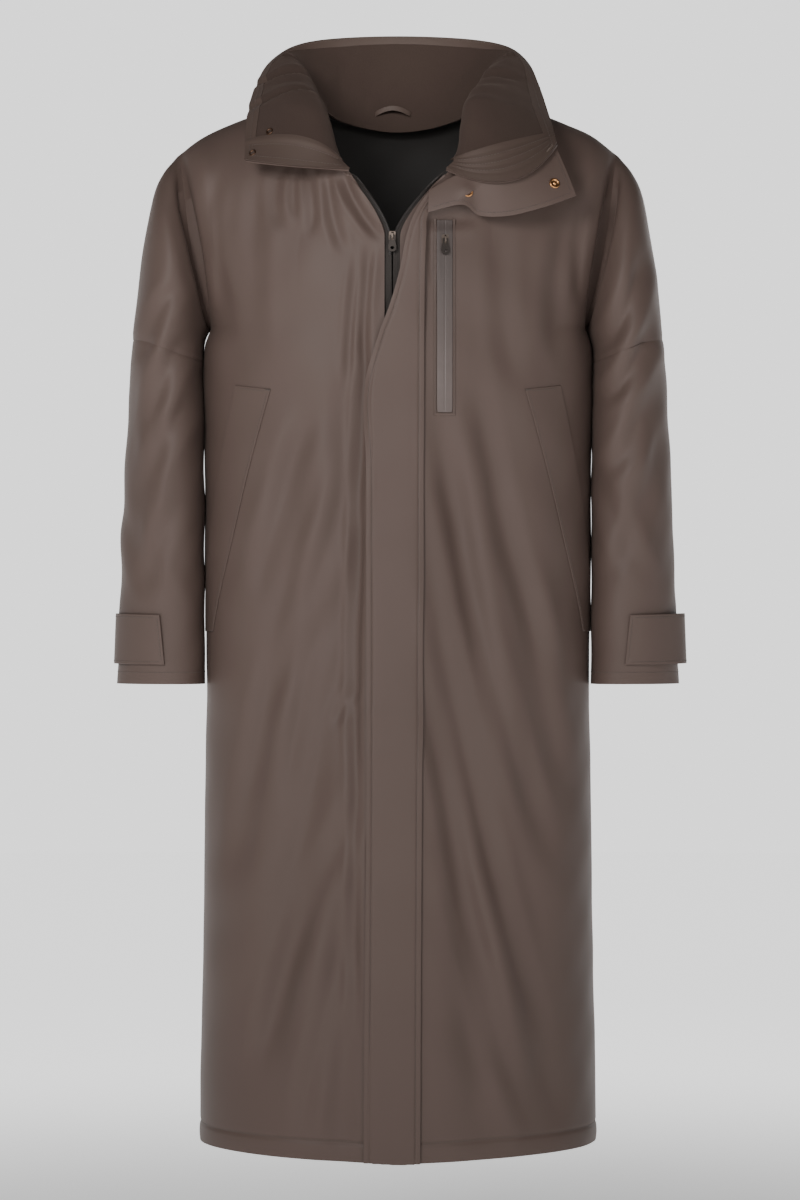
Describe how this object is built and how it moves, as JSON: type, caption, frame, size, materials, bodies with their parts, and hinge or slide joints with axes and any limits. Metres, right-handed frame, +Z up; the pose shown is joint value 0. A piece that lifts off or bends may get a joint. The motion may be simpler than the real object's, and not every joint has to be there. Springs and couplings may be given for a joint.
{
  "type": "changing robe",
  "caption": "Long brown changing robe as worn, open at the neck: T-cut cloth panels, turned-out lined collar, zip under a placket, chest zip pocket, slanted pockets, cuff tabs.",
  "frame": {"origin": "middle of the neck at the height of the shoulder seams, where the wearer's shoulders carry the robe", "axes": "+Z up, the front faces -Y, the wearer's left is +X"},
  "size_m": [0.681, 0.3499, 1.331],
  "materials": {
    "shell": "smooth brown microfibre with a soft sheen",
    "fleece": "dark brown brushed lining",
    "lining": "black plain lining",
    "zip_tape": "dark woven tape",
    "chest_tape": "coated glossy tape",
    "zip_metal": "dull cast metal",
    "zip_pull": "dark coated metal",
    "brass": "coppery brass"
  },
  "bodies": {
    "robe": {"back": "shell", "front_right": "shell", "front_left": "shell", "sleeve_right": "shell", "sleeve_left": "shell", "collar": "shell", "collar_facing": "shell", "collar_lining": "fleece", "back_lining": "lining", "placket": "shell", "placket_flap": "shell", "zip_tape_right": "zip_tape", "zip_tape_left": "zip_tape", "front_zip_slider": "zip_metal", "chest_zip_tape": "chest_tape", "chest_zip_slider": "zip_metal", "pocket_welt_right": "shell", "pocket_welt_left": "shell", "cuff_tab_right": "shell", "cuff_tab_left": "shell", "hanger_loop": "fleece", "snap_flap_end": "brass", "snap_flap_fold": "brass", "snap_collar": "brass", "snap_collar_corner": "brass"},
    "front_pull": {"front_zip_pull": "zip_pull"},
    "chest_pull": {"chest_zip_pull": "zip_pull"}
  },
  "joints": [
    {"name": "front_pull_swing", "type": "hinge", "parent": "robe", "child": "front_pull", "pos_m": [-0.00652, -0.14969, -0.16797], "axis": [-0.9999, 0.0139, 0], "range_deg": [0, 150]},
    {"name": "chest_pull_swing", "type": "hinge", "parent": "robe", "child": "chest_pull", "pos_m": [0.05484, -0.14873, -0.17163], "axis": [-0.9902, -0.1396, 0], "range_deg": [0, 150]}
  ]
}
